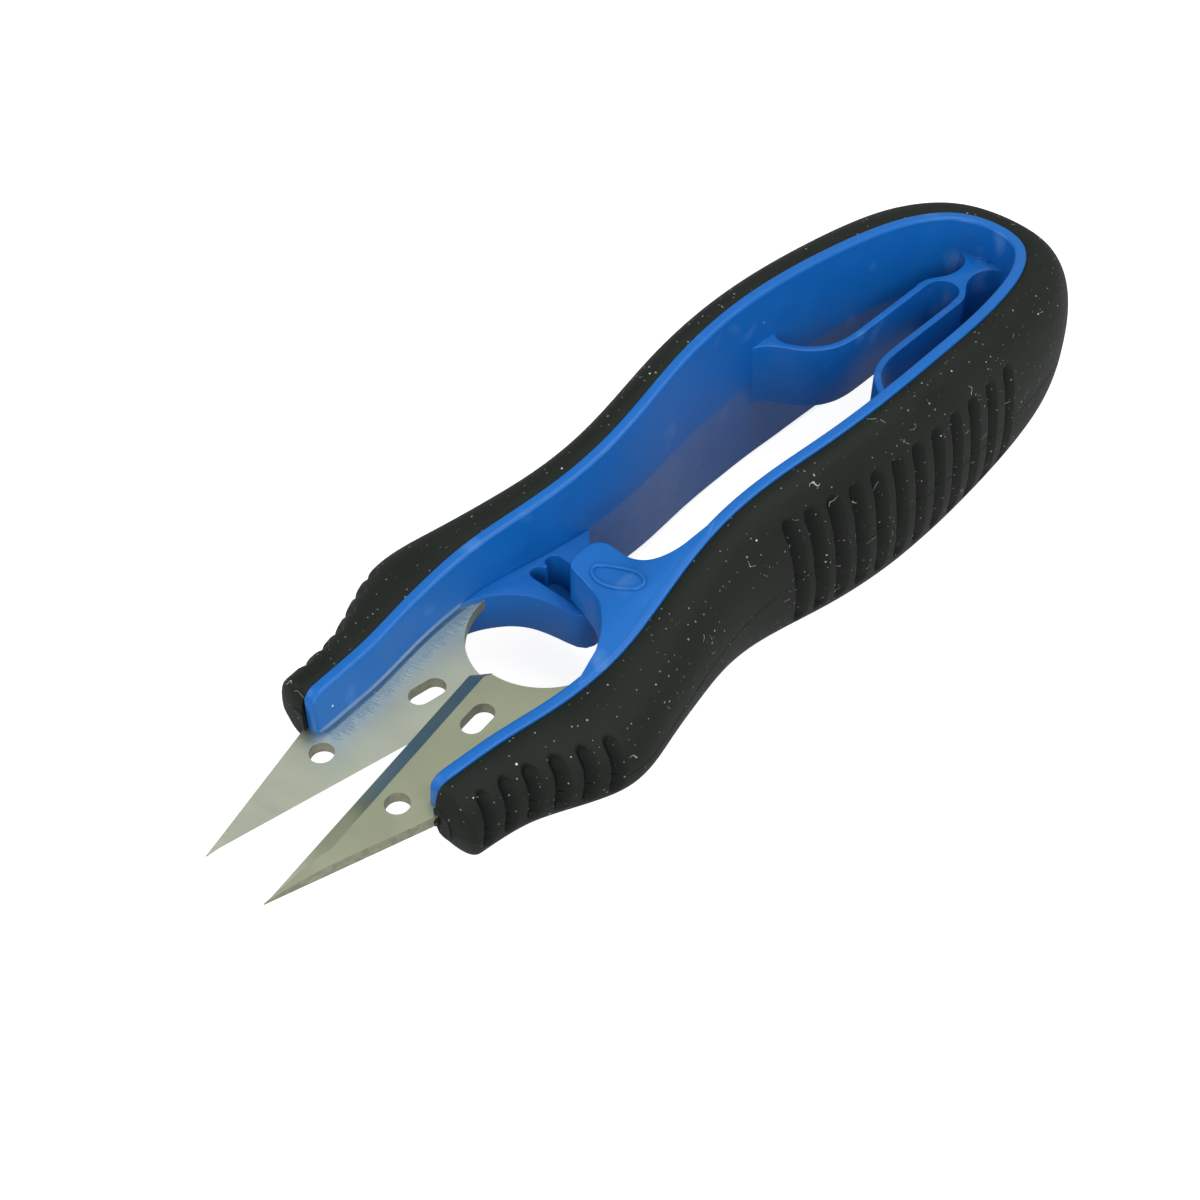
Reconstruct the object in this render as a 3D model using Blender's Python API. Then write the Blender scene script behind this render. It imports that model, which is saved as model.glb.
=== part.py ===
"""Thread snips: a moulded one-piece spring handle, two steel blades and a soft overmoulded grip.

+X points to the blade tips and +Z up. The near arm is at +Y and the far arm at -Y. The origin is the
middle of the footprint, on the surface that the snips lie on. Lengths below are in millimetres, and
heights are counted from the plane where the two blades meet.
"""

import math

import bmesh
import bpy
from mathutils import Matrix, Vector

# ---- Driving dimensions ----
TIP_X = 60.0                # blade tips
MEET_PLANE = 11.2           # height of the blades' meeting plane over the table
UNDERSIDE = 0.93            # depth under the meeting plane, as a share of the height over it
                            # (the palm's lowest stretch is flat, at the table)
WALL = 1.4                  # thickness of the moulded handle wall
TOUCH_GAP = 0.3             # gap kept between pieces that touch
CUT_MARGIN = 2.0            # how far a cutter runs past what it cuts

PIVOT_X = -36.5             # where each arm bends out of the rear bow
PIVOT_Y = 12.4

# Handle outline from the front of one arm to the rear apex:
# x, half width to the rail's outer face, height over the meeting plane, bulge of the grip
STATIONS = (
    (41.2, 8.65, 4.80, 4.25),
    (36.0, 9.10, 4.90, 4.75),
    (30.5, 10.00, 5.12, 6.40),
    (27.0, 10.42, 5.36, 7.30),
    (21.0, 10.50, 6.10, 6.10),
    (16.0, 9.80, 6.85, 5.50),
    (10.0, 8.80, 7.95, 5.20),
    (3.5, 8.40, 9.30, 4.98),
    (-3.0, 9.00, 10.50, 4.85),
    (-10.0, 10.10, 11.40, 4.85),
    (-20.0, 10.85, 12.10, 5.00),
    (-29.0, 10.65, 12.00, 5.25),
    (PIVOT_X, 10.10, 11.50, 5.50),
    (-44.0, 9.00, 10.95, 5.85),
    (-50.0, 7.20, 10.40, 6.05),
    (-54.0, 4.20, 10.00, 5.70),
    (-55.2, 0.00, 9.90, 4.80),
)
PIVOT_STATION = 12
APEX_STATION = 16
# Rounded front ends: x, half width, height, bulge, from the nose back to the first station
RAIL_NOSE = ((44.2, 8.47, 3.2, 0.0), (43.8, 8.48, 4.1, 0.0), (42.7, 8.54, 4.74, 0.0))
GRIP_NOSE = ((44.6, 8.47, 2.4, 2.1), (44.3, 8.48, 3.7, 3.3), (43.2, 8.52, 4.6, 4.1))
GRIP_ROUNDNESS = (2.4, 2.9)  # exponents of the grip's side profile
PROFILE_STEPS = 12

# Blades
BLADE_THICKNESS = 1.3
HALF_SLIP = 0.1             # half the running gap between the blades
TIP_Y = 3.94
OUTER_SLOPE = 0.303         # outer edge, sideways per length
EDGE_SLOPE = 0.188          # cutting edge, sideways per length
BEVEL_WIDTH = 2.0           # ground bevel along the cutting edge
HEEL_X = 29.6               # inner end of the cutting edge
SHOULDER_X = 39.5           # where the outer edge turns into the tang
POINT_GRIND = (7.5, 0.9)    # length and width of the thinned point
BACK_ARC = (20.2, 8.3)      # centre x and radius of the concave rear edge
HOLE = (45.4, 5.2, 1.22)    # x, y and radius of the round hole
SLOT = (33.6, 3.45, 4.0, 2.3, 8.0)  # x, y, length, width and tilt in degrees

# Tang blocks
TANG_BLOCK_HALF = 2.9       # half its height
TANG_BLOCK_SHARE = 0.62     # its depth as a share of the grip's bulge
TANG_BLOCK_RUN = (0.35, 4.25)  # the stations it starts and ends at

# Guide between the arms
TONGUE_HEIGHTS = (0.6, 5.3)
GUIDE_HEIGHTS = (-4.4, 0.3)
POCKET = (12.0, 16.1, -5.9, 0.5, -3.9)  # x from, x to, y of its lobes' centres, y to, floor
POCKET_RIB = 0.5            # thickness of the rib between its two lobes
RING_CENTRE = (14.6, 3.8)
RING_SIZE = (1.45, 3.2)     # outer radii along x and y
RING_WIDTH = 0.5
RING_HEIGHT = 0.35

# Inner spring
SPRING_HEIGHTS = (-2.4, 5.6)
LEG_Y = 2.4
LEAF = 0.85                 # leaf thickness
LEAF_ROOT = 0.8             # extra half thickness where it meets the arm
LEAF_ROOT_SHARE = 0.15      # share of its length that thickens
LEG_START_X = -45.0         # where the legs leave the closed end

# Colours as red, green, blue, then roughness and metallic
BLUE = (0.010, 0.165, 0.700, 0.35, 0.0)
RUBBER = (0.012, 0.014, 0.012, 0.75, 0.0)
STEEL = (0.38, 0.41, 0.31, 0.35, 1.0)


def metres(x, y, z):
    """A point given in millimetres over the meeting plane, in the part's frame."""
    return Vector((x, y, z + MEET_PLANE)) * 0.001


def smooth_point(points, place):
    """A Catmull-Rom curve through the points, read at a place such as 2.5, halfway from 2 to 3."""
    first = min(int(place), len(points) - 2)
    t = place - first
    a = points[max(first - 1, 0)]
    b = points[first]
    c = points[first + 1]
    d = points[min(first + 2, len(points) - 1)]
    return tuple(
        q + 0.5 * t * (r - p + t * (2 * p - 5 * q + 4 * r - s + t * (3 * (q - r) + s - p)))
        for p, q, r, s in zip(a, b, c, d)
    )


def handle_points(nose=()):
    """The whole outline as one list: near nose, near arm, apex, far arm, far nose."""
    near = list(nose) + list(STATIONS)
    far = [(x, -w, h, b) for x, w, h, b in reversed(near[:-1])]
    return near + far


def outline(start, end, steps, nose=()):
    """Frames along the handle: position, outward direction, height and bulge."""
    points = handle_points(nose)
    frames = []
    for i in range(steps + 1):
        place = start + (end - start) * i / steps
        x, y, height, bulge = smooth_point(points, place)
        ahead = smooth_point(points, min(place + 0.01, len(points) - 1))
        behind = smooth_point(points, max(place - 0.01, 0))
        along = Vector((ahead[0] - behind[0], ahead[1] - behind[1])).normalized()
        frames.append((Vector((x, y)), Vector((along.y, -along.x)), height, bulge))
    return frames


def face_out(bm):
    """Turn every face of a closed solid outwards."""
    bmesh.ops.recalc_face_normals(bm, faces=bm.faces)
    if bm.calc_volume(signed=True) < 0:
        bmesh.ops.reverse_faces(bm, faces=bm.faces)
    return bm


def loft(rings):
    """A closed solid through rings of points, with a flat cap at each end."""
    bm = bmesh.new()
    loops = [[bm.verts.new(p) for p in ring] for ring in rings]
    count = len(rings[0])
    for near, far in zip(loops, loops[1:]):
        for i in range(count):
            j = (i + 1) % count
            bm.faces.new((near[i], near[j], far[j], far[i]))
    bm.faces.new(loops[0])
    bm.faces.new(loops[-1])
    return face_out(bm)


def prism(outline_points, low, high):
    """A plate with this outline between two heights."""
    return loft([[metres(x, y, z) for x, y in outline_points] for z in (low, high)])


def mirrored(bm, y=True, z=False):
    """The same solid on the other arm, turned over too where z is asked for."""
    height = 2 * MEET_PLANE * 0.001
    for v in bm.verts:
        v.co.y = -v.co.y if y else v.co.y
        v.co.z = height - v.co.z if z else v.co.z
    return face_out(bm)


def material(name, look):
    """A plain plastic, rubber or metal finish."""
    red, green, blue, roughness, metallic = look
    made = bpy.data.materials.new(name)
    made.use_nodes = True
    shader = made.node_tree.nodes["Principled BSDF"]
    shader.inputs["Base Color"].default_value = (red, green, blue, 1.0)
    shader.inputs["Roughness"].default_value = roughness
    shader.inputs["Metallic"].default_value = metallic
    return made


def piece(name, bm, finish, holder=None):
    """A named object for one sub-part, with its origin on its holder's pivot."""
    mesh = bpy.data.meshes.new(name)
    bm.to_mesh(mesh)
    bm.free()
    obj = bpy.data.objects.new(name, mesh)
    bpy.context.collection.objects.link(obj)
    mesh.materials.append(material(name, finish))
    if holder is not None:
        mesh.transform(Matrix.Translation(-holder.location))
        obj.parent = holder
    mesh.shade_smooth()
    mesh.set_sharp_from_angle(angle=math.radians(35))
    return obj


def cutter(name, bm):
    """A hidden solid that shapes others."""
    mesh = bpy.data.meshes.new(name)
    bm.to_mesh(mesh)
    bm.free()
    obj = bpy.data.objects.new(name, mesh)
    bpy.context.collection.objects.link(obj)
    obj.hide_render = True
    obj.display_type = "WIRE"
    return obj


def cut(obj, tool):
    """Take the tool's shape away from the object."""
    modifier = obj.modifiers.new(tool.name, "BOOLEAN")
    modifier.operation = "DIFFERENCE"
    modifier.solver = "EXACT"
    modifier.object = tool


def pivot(name, side):
    """The point that an arm swings about."""
    empty = bpy.data.objects.new(name, None)
    empty.location = metres(PIVOT_X, side * PIVOT_Y, 0.0)
    bpy.context.collection.objects.link(empty)
    return empty


def depth(height):
    """The handle's lower edge, under a stretch with this height."""
    return max(-UNDERSIDE * height, -MEET_PLANE)


def wall_ring(frame):
    """The handle wall's four corners at one frame of the outline."""
    a, out, high, _ = frame
    b = a - out * WALL
    low = depth(high)
    return [metres(a.x, a.y, high), metres(b.x, b.y, high), metres(b.x, b.y, low), metres(a.x, a.y, low)]


def grip_ring(frame):
    """The grip's section: a flat back against the wall and a full, rounded outer side."""
    place, out, height, bulge = frame
    ring = []
    for i in range(PROFILE_STEPS + 1):
        t = -math.cos(math.pi * i / PROFILE_STEPS)
        fullness = (1.0 - abs(t) ** GRIP_ROUNDNESS[0]) ** (1.0 / GRIP_ROUNDNESS[1])
        p = place + out * (TOUCH_GAP + (bulge - TOUCH_GAP) * fullness)
        ring.append(metres(p.x, p.y, t * height if t > 0 else -t * depth(height)))
    return ring


def seam_place(nose_points, direction):
    """The place on the outline at the bend, moved by half the touching gap: -1 forwards, 1 rearwards."""
    spacing = STATIONS[PIVOT_STATION][0] - STATIONS[PIVOT_STATION + 1][0]
    return nose_points + PIVOT_STATION + direction * 0.5 * TOUCH_GAP / spacing


def arm_rail():
    """The moulded wall of the near arm, nose to bend."""
    end = seam_place(len(RAIL_NOSE), -1)
    return loft([wall_ring(f) for f in outline(0, end, 44, RAIL_NOSE)])


def arm_grip():
    """The soft grip of the near arm, nose to bend."""
    end = seam_place(len(GRIP_NOSE), -1)
    return loft([grip_ring(f) for f in outline(0, end, 44, GRIP_NOSE)])


def bow_frames():
    """The outline round the rear, from one bend to the other."""
    start = seam_place(0, 1)
    return outline(start, 2 * APEX_STATION - start, 32)


def blade_outline(grow=0.0):
    """The near blade seen from above, tang included; grow widens it for a clearance."""
    reach = TIP_X - HEEL_X
    centre, radius = BACK_ARC
    radius -= grow
    arc = [math.radians(a) for a in (6, 18, 30, 42, 54, 66, 78, 88)]
    edge = [(TIP_X + 4 * grow, TIP_Y), (HEEL_X, TIP_Y - EDGE_SLOPE * reach - grow)]
    edge.append((HEEL_X - 1.0 - grow, -0.5))
    edge += [(centre + radius * math.cos(a), radius * math.sin(a)) for a in arc]
    edge += [(18.2 - grow, 8.9 - grow), (18.2 - grow, 11.2 + grow), (23.0, 11.8 + grow)]
    edge += [(28.0, 11.6 + grow), (34.0, 10.7 + grow)]
    edge.append((SHOULDER_X, TIP_Y + OUTER_SLOPE * (TIP_X - SHOULDER_X) + grow))
    return edge


def blade_top():
    """The upper face's outline: set in by the bevel along the cutting edge and at the point."""
    top = blade_outline()
    lean = math.hypot(1.0, EDGE_SLOPE)
    top[0] = (TIP_X - POINT_GRIND[0], TIP_Y + POINT_GRIND[1])
    top[1] = (HEEL_X, top[1][1] + BEVEL_WIDTH * lean)
    top[2] = (HEEL_X - 1.15, top[1][1] + 0.1)
    return top


def round_hole(x, y, radius, length=0.0, tilt=0.0):
    """A round or long hole through the blade."""
    steps = 24
    lean = math.radians(tilt)
    points = []
    for i in range(steps):
        a = 2 * math.pi * (i + 0.5) / steps
        u = radius * math.cos(a) + math.copysign(0.5 * length, math.cos(a))
        v = radius * math.sin(a)
        ahead = u * math.cos(lean) - v * math.sin(lean)
        across = u * math.sin(lean) + v * math.cos(lean)
        points.append((x + ahead, y + across))
    return prism(points, -CUT_MARGIN, CUT_MARGIN + BLADE_THICKNESS)


def near_blade():
    """The near blade's solid, over the meeting plane."""
    low = [metres(x, y, HALF_SLIP) for x, y in blade_outline()]
    high = [metres(x, y, HALF_SLIP + BLADE_THICKNESS) for x, y in blade_top()]
    return loft([low, high])


def tang_clearance():
    """The room that the near blade needs in the moulding and the grip."""
    low = HALF_SLIP - TOUCH_GAP
    return prism(blade_outline(TOUCH_GAP), low, HALF_SLIP + BLADE_THICKNESS + TOUCH_GAP)


def tang_block(grow=0.0):
    """The thick stretch of moulding outside the rail that holds the near blade's tang."""
    start, end = (len(RAIL_NOSE) + station for station in TANG_BLOCK_RUN)
    back = -TOUCH_GAP if grow > 0 else TOUCH_GAP
    rings = []
    for place, out, _, bulge in outline(start, end, 16, RAIL_NOSE):
        a = place + out * back
        b = place + out * (TANG_BLOCK_SHARE * bulge + grow)
        half = TANG_BLOCK_HALF + grow
        rings.append([metres(p.x, p.y, z) for p, z in ((b, half), (a, half), (a, -half), (b, -half))])
    if grow > 0:
        step = Vector((grow * 0.001, 0.0, 0.0))
        rings[0] = [p + step for p in rings[0]]
        rings[-1] = [p - step for p in rings[-1]]
    return loft(rings)


def tongue():
    """The near arm's tongue, which lies over the far arm's guide block."""
    front = [(23.2, 8.7), (22.3, 8.15), (20.9, 7.3), (19.6, 6.15), (18.3, 4.75), (17.4, 3.3), (16.8, 1.8)]
    end = [(16.4, 0.5), (16.15, -0.6), (15.8, -1.35), (15.1, -1.85), (14.1, -2.0), (12.6, -2.0), (11.7, -1.7)]
    rear = [(11.2, -1.1), (11.05, -0.2), (11.1, 0.9), (11.3, 3.0), (11.1, 4.8), (10.4, 5.8), (9.2, 6.5)]
    return prism(front + end + rear + [(8.0, 6.75)], *TONGUE_HEIGHTS)


def guide_block():
    """The far arm's block under the tongue, flared where it joins the rail."""
    front = [(22.6, -8.65), (21.0, -7.75), (19.4, -6.4), (18.2, -4.6), (17.6, -2.7), (17.2, -0.6)]
    end = [(16.95, 0.5), (16.45, 1.3), (15.6, 1.7), (11.6, 1.7), (10.9, 1.3), (10.6, 0.5)]
    rear = [(10.45, -1.0), (10.2, -2.5), (9.6, -4.0), (8.4, -5.6), (7.0, -6.7)]
    back = [(10.0, -7.0), (13.0, -7.45), (16.0, -8.0), (19.5, -8.45)]
    return prism(front + end + rear + back, *GUIDE_HEIGHTS)


def guide_pocket():
    """The open pocket in the block, whose end wall is two lobes with a rib between them."""
    x_from, x_to, y_centre, y_to, floor = POCKET
    radius = 0.25 * (x_to - x_from - POCKET_RIB)
    points = [(x_to, y_to), (x_from, y_to)]
    for centre in (x_from + radius, x_to - radius):
        for degrees in range(180, 361, 30):
            a = math.radians(degrees)
            points.append((centre + radius * math.cos(a), y_centre + radius * math.sin(a)))
    return prism(points, floor, GUIDE_HEIGHTS[1] + CUT_MARGIN)


def spring_leaf():
    """The near leaf: a straight leg, then a curve out to the arm, thicker at its root."""
    centre = [(LEG_START_X + TOUCH_GAP, LEG_Y), (-38.0, LEG_Y), (-31.5, LEG_Y), (-29.2, 2.85)]
    centre += [(-27.4, 3.9), (-26.1, 5.3), (-25.2, 6.9), (-24.6, 8.6)]
    rings = []
    steps = 28
    for i in range(steps + 1):
        place = (len(centre) - 1) * i / steps
        x, y = smooth_point(centre, place)
        ahead = Vector(smooth_point(centre, min(place + 0.02, len(centre) - 1)))
        behind = Vector(smooth_point(centre, max(place - 0.02, 0)))
        along = (ahead - behind).normalized()
        root = max(0.0, (i / steps - 1.0) / LEAF_ROOT_SHARE + 1.0)
        side = Vector((-along.y, along.x)) * (0.5 * LEAF + LEAF_ROOT * root)
        a = Vector((x, y)) + side
        b = Vector((x, y)) - side
        low, high = SPRING_HEIGHTS
        rings.append([metres(p.x, p.y, z) for p, z in ((a, high), (b, high), (b, low), (a, low))])
    return loft(rings)


def spring_bridge():
    """The closed end of the spring, its waist and its flared root on the rear wall."""
    half = 0.5 * LEAF
    outer = [(LEG_START_X, LEG_Y + half), (-46.1, 2.75), (-47.0, 2.3), (-48.0, 1.6), (-48.9, 1.05)]
    outer += [(-49.9, 0.95), (-51.0, 0.98), (-51.9, 1.35), (-52.4, 2.0), (-52.6, 2.7)]
    inner = [(LEG_START_X, LEG_Y - half), (-45.9, 1.85), (-46.7, 1.4), (-47.2, 0.7)]
    near = inner[::-1] + outer
    far = [(x, -y) for x, y in near]
    root = [(-53.1, 1.9), (-53.35, 1.0), (-53.45, 0.0), (-53.35, -1.0), (-53.1, -1.9)]
    return prism(near + root + far[::-1] + [(-47.35, 0.0)], *SPRING_HEIGHTS)


def badge():
    """A plain raised oval ring on top of the tongue."""
    low = TONGUE_HEIGHTS[1] + TOUCH_GAP
    high = low + RING_HEIGHT
    steps = 28
    bm = bmesh.new()
    loops = []
    for inset, z in ((0.0, high), (0.0, low), (RING_WIDTH, low), (RING_WIDTH, high)):
        loop = []
        for i in range(steps):
            a = 2 * math.pi * i / steps
            x = RING_CENTRE[0] + (RING_SIZE[0] - inset) * math.cos(a)
            y = RING_CENTRE[1] + (RING_SIZE[1] - inset) * math.sin(a)
            loop.append(bm.verts.new(metres(x, y, z)))
        loops.append(loop)
    for a, b in zip(loops, loops[1:] + loops[:1]):
        for i in range(steps):
            j = (i + 1) % steps
            bm.faces.new((a[i], a[j], b[j], b[i]))
    return face_out(bm)


def build_arm(side):
    """All the pieces of one arm: side is +1 for the near arm and -1 for the far arm."""
    name = "near" if side > 0 else "far"
    far = side < 0
    holder = pivot(name + "_arm_pivot", side)

    def placed(bm, turned=False):
        return mirrored(bm, True, turned) if far else bm

    clearance = cutter(name + "_tang_clearance", placed(tang_clearance(), True))
    room = cutter(name + "_tang_block_room", placed(tang_block(TOUCH_GAP)))
    rail = piece(name + "_rail", placed(arm_rail()), BLUE, holder)
    block = piece(name + "_tang_block", placed(tang_block()), BLUE, holder)
    grip = piece(name + "_grip", placed(arm_grip()), RUBBER, holder)
    blade = piece(name + "_blade", placed(near_blade(), True), STEEL, holder)
    cut(rail, clearance)
    cut(block, clearance)
    cut(grip, room)
    cut(grip, clearance)
    hole = cutter(name + "_blade_hole", placed(round_hole(*HOLE), True))
    x, y, length, width, tilt = SLOT
    slot = cutter(name + "_blade_slot", placed(round_hole(x, y, 0.5 * width, length - width, tilt), True))
    cut(blade, hole)
    cut(blade, slot)
    piece(name + "_spring_leaf", placed(spring_leaf()), BLUE)
    return holder, clearance


def build():
    """Every sub-part of the snips."""
    for obj in list(bpy.data.objects):
        bpy.data.objects.remove(obj, do_unlink=True)
    near_holder, near_clearance = build_arm(1)
    far_holder, far_clearance = build_arm(-1)
    cut(piece("near_tongue", tongue(), BLUE, near_holder), near_clearance)
    piece("tongue_badge", badge(), BLUE, near_holder)
    guide = piece("far_guide_block", guide_block(), BLUE, far_holder)
    cut(guide, far_clearance)
    cut(guide, cutter("guide_pocket", guide_pocket()))
    piece("rear_bow", loft([wall_ring(f) for f in bow_frames()]), BLUE)
    piece("rear_grip", loft([grip_ring(f) for f in bow_frames()]), RUBBER)
    piece("spring_bridge", spring_bridge(), BLUE)


build()
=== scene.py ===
"""Thread snips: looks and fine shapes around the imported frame. Sizes are in millimetres, and
heights are over the plane where the two blades meet; both become metres over the table in a mesh."""

import math

import bmesh
import bpy
import numpy as np
from mathutils import Matrix, Vector


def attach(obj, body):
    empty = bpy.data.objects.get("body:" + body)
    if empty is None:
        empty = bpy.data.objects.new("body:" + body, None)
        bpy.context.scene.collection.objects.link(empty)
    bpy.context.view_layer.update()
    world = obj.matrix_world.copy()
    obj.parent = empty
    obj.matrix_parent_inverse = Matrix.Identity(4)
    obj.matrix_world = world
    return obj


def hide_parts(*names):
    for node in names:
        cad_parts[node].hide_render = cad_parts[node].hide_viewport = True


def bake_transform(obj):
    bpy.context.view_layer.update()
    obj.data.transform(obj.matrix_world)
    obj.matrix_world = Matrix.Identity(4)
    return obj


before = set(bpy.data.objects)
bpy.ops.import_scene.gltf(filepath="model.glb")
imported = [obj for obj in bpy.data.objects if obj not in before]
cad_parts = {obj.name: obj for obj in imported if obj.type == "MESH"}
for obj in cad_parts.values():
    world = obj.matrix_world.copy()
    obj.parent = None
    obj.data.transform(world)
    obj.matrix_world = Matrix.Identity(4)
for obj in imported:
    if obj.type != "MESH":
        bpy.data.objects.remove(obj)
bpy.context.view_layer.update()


# ---- Handle moulding ----
# The blue handle is one injection moulding: a thin tall wall that runs from one nose round the rear
# bow to the other. It is polypropylene-like plastic, satin from the mould, and its rim is left bare.
MM = 0.001
MEET_PLANE = 11.2             # height of the blades' meeting plane over the table
LOWER_SHARE = 0.93            # depth under the meeting plane, as a share of the height over it
OUTLINE = (  # x, half width to the wall's outer face, height over the meeting plane, bulge of the grip
    (45.6, 8.45, 4.72, 4.20), (43.4, 8.50, 4.76, 4.20), (41.2, 8.65, 4.80, 4.25),
    (36.0, 9.10, 4.90, 4.75), (30.5, 10.00, 5.12, 6.40), (27.0, 10.42, 5.36, 7.30),
    (21.0, 10.50, 6.10, 6.10), (16.0, 9.80, 6.85, 5.50), (10.0, 8.80, 7.95, 5.20),
    (3.5, 8.40, 9.30, 4.98), (-3.0, 9.00, 10.50, 4.85), (-10.0, 10.10, 11.40, 4.85),
    (-20.0, 10.85, 12.10, 5.00), (-29.0, 10.65, 12.00, 5.25), (-36.5, 10.10, 11.50, 5.50),
    (-44.0, 9.00, 10.95, 5.85), (-50.0, 7.20, 10.40, 6.05), (-54.0, 4.20, 10.00, 5.70),
    (-55.2, 0.0, 9.90, 5.10),
)
WALL_TIP = {"near": 43.3, "far": 44.25}   # the flat front face of each wall
WALL_CORNER = 1.5             # radius of the corner between its rim and its front face
WALL_EDGE = 0.25              # radius round the front face
WALL_UNDERCUT = 4.2           # length over which its lower edge rises towards the front face
WALL_NOSE_LOW = -0.3          # its lower edge at the front face, hidden under the blade
WALL_LIFT = 0.2               # its lower edge is a little above the grip's
RIM_WIDTH = 1.3               # the wall's thickness at its rim
MID_WIDTH = 1.6               # the draft from both mould halves makes the wall thickest half way down
DRAFT_LINE = 0.6              # height of that thickest line
DRAFT_BLUNT = (0.03, 0.15)    # how far the line is blunted: inwards, and up and down
DRAFT_CLEAR = 0.3             # its least height over the rounded lower edge
RIM_INNER_RADIUS = 0.42
RIM_OUTER_RADIUS = 0.20
EDGE_STEPS = 7                # faces round the rim's inner edge
WALL_STEP = 0.45              # from one ring of the wall to the next
NOSE_STEPS = 24
TABLE_STEPS = 4000            # fineness of the table that finds a place from its x
NEARBY = 0.01                 # how far apart two points are read for a direction
SHARP = 38.0                  # edges that turn more than this stay sharp
SIDES = (("near", 1.0), ("far", -1.0))


def natural_spline(knots, values):
    """A curve with even bends through the values, read at places along the knots."""
    gaps = np.diff(knots)
    slopes = np.diff(values, axis=0) / gaps[:, None]
    count = len(knots)
    system = np.eye(count)
    right = np.zeros_like(values)
    for i in range(1, count - 1):
        system[i, i - 1] = gaps[i - 1]
        system[i, i] = 2 * (gaps[i - 1] + gaps[i])
        system[i, i + 1] = gaps[i]
        right[i] = 6 * (slopes[i] - slopes[i - 1])
    bends = np.linalg.solve(system, right)

    def read(places):
        places = np.asarray(places, float)
        i = np.clip(np.searchsorted(knots, places) - 1, 0, count - 2)
        gap = gaps[i][:, None]
        b = (places - knots[i])[:, None] / gap
        a = 1 - b
        bend = (a**3 - a) * bends[i] + (b**3 - b) * bends[i + 1]
        return a * values[i] + b * values[i + 1] + bend * gap**2 / 6

    return read


def path_through(points):
    """Knots by length along the points, and the smooth curve through them."""
    values = np.array(points, float)
    lengths = np.linalg.norm(np.diff(values[:, :2], axis=0), axis=1)
    knots = np.concatenate(([0.0], np.cumsum(lengths)))
    return knots, natural_spline(knots, values)


mirror_back = [(x, -w, h, b) for x, w, h, b in reversed(OUTLINE[:-1])]
outline_knots, outline_curve = path_through(list(OUTLINE) + mirror_back)
apex_place = outline_knots[len(OUTLINE) - 1]


def place_at(x):
    """Where along the near half of the outline this x is."""
    places = np.linspace(0.0, apex_place, TABLE_STEPS)
    return float(np.interp(-x, -outline_curve(places)[:, 0], places))


def outline_frames(places):
    """Positions, outward directions, heights and bulges at places along the near half."""
    values = outline_curve(places)
    places = np.asarray(places)
    along = (outline_curve(places - NEARBY) - outline_curve(places + NEARBY))[:, :2]
    along /= np.linalg.norm(along, axis=1)[:, None]
    out = np.stack([-along[:, 1], along[:, 0]], axis=1)
    return values[:, :2], out, values[:, 2], values[:, 3]


def lower_edge(height):
    """The handle's lower edge, flat on the table under the palm's highest stretch."""
    return max(-LOWER_SHARE * height, -MEET_PLANE)


def places_round_nose(turned, first, steps):
    """Places from the tip back to where a rounded nose ends, closer together towards the tip."""
    shares = [math.sin(0.5 * math.pi * i / steps) for i in range(steps, 0, -1)]
    return [turned + (first - turned) * share for share in shares]


def arc(centre_u, centre_z, radius, start, end, steps=5):
    """Points on an arc in a section, angles in degrees."""
    angles = [math.radians(start + (end - start) * i / steps) for i in range(steps + 1)]
    return [(centre_u + radius * math.cos(a), centre_z + radius * math.sin(a)) for a in angles]


def wall_section(height, low, inset=0.0):
    """The wall's closed section: how far inwards from its outer face, and height."""
    outer = RIM_OUTER_RADIUS
    inner = RIM_INNER_RADIUS
    height -= inset
    low += inset
    rim = RIM_WIDTH - inset
    middle = MID_WIDTH - inset
    section = arc(inset + outer, height - outer, outer, 180, 90)
    section += arc(rim - inner, height - inner, inner, 90, 0, EDGE_STEPS)
    line = max(DRAFT_LINE, low + inner + DRAFT_CLEAR)
    blunt, reach = DRAFT_BLUNT
    section += [(middle - blunt, line + reach), (middle, line), (middle - blunt, line - reach)]
    section += arc(rim - inner, low + inner, inner, 0, -90, EDGE_STEPS)
    section += arc(inset + outer, low + outer, outer, -90, -180)
    return section


def corner_drop(x, tip, radius):
    """How far a rounded corner falls below its edge near the tip."""
    t = min(max((x - (tip - radius)) / radius, 0.0), 1.0)
    return radius * (1.0 - math.sqrt(1.0 - t * t))


def closed_tube(rings, capped=True):
    """A closed solid through rings of points in millimetres, its faces turned outwards."""
    bm = bmesh.new()
    loops = [
        [bm.verts.new(Vector((x, y, z + MEET_PLANE)) * MM) for x, y, z in ring] for ring in rings
    ]
    count = len(loops[0])
    for a, b in zip(loops, loops[1:] if capped else loops[1:] + loops[:1]):
        for i in range(count):
            j = (i + 1) % count
            bm.faces.new((a[i], a[j], b[j], b[i]))
    if capped:
        bm.faces.new(loops[0])
        bm.faces.new(loops[-1])
    bmesh.ops.recalc_face_normals(bm, faces=bm.faces)
    if bm.calc_volume(signed=True) < 0:
        bmesh.ops.reverse_faces(bm, faces=bm.faces)
    return bm


def flip_side(bm, turn_over=False):
    """The same solid on the far arm, turned over too where asked for."""
    for v in bm.verts:
        v.co.y = -v.co.y
        if turn_over:
            v.co.z = 2 * MEET_PLANE * MM - v.co.z
    bmesh.ops.reverse_faces(bm, faces=bm.faces)
    if turn_over:
        bmesh.ops.reverse_faces(bm, faces=bm.faces)
    return bm


def new_object(name, bm):
    """An object at the origin with its place in its mesh."""
    mesh = bpy.data.meshes.new(name)
    bm.to_mesh(mesh)
    bm.free()
    obj = bpy.data.objects.new(name, mesh)
    bpy.context.scene.collection.objects.link(obj)
    return obj


def smoothed(obj, sharp):
    """Shades the object smooth but for its sharp edges."""
    obj.data.shade_smooth()
    obj.data.set_sharp_from_angle(angle=math.radians(sharp))
    return obj


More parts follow.
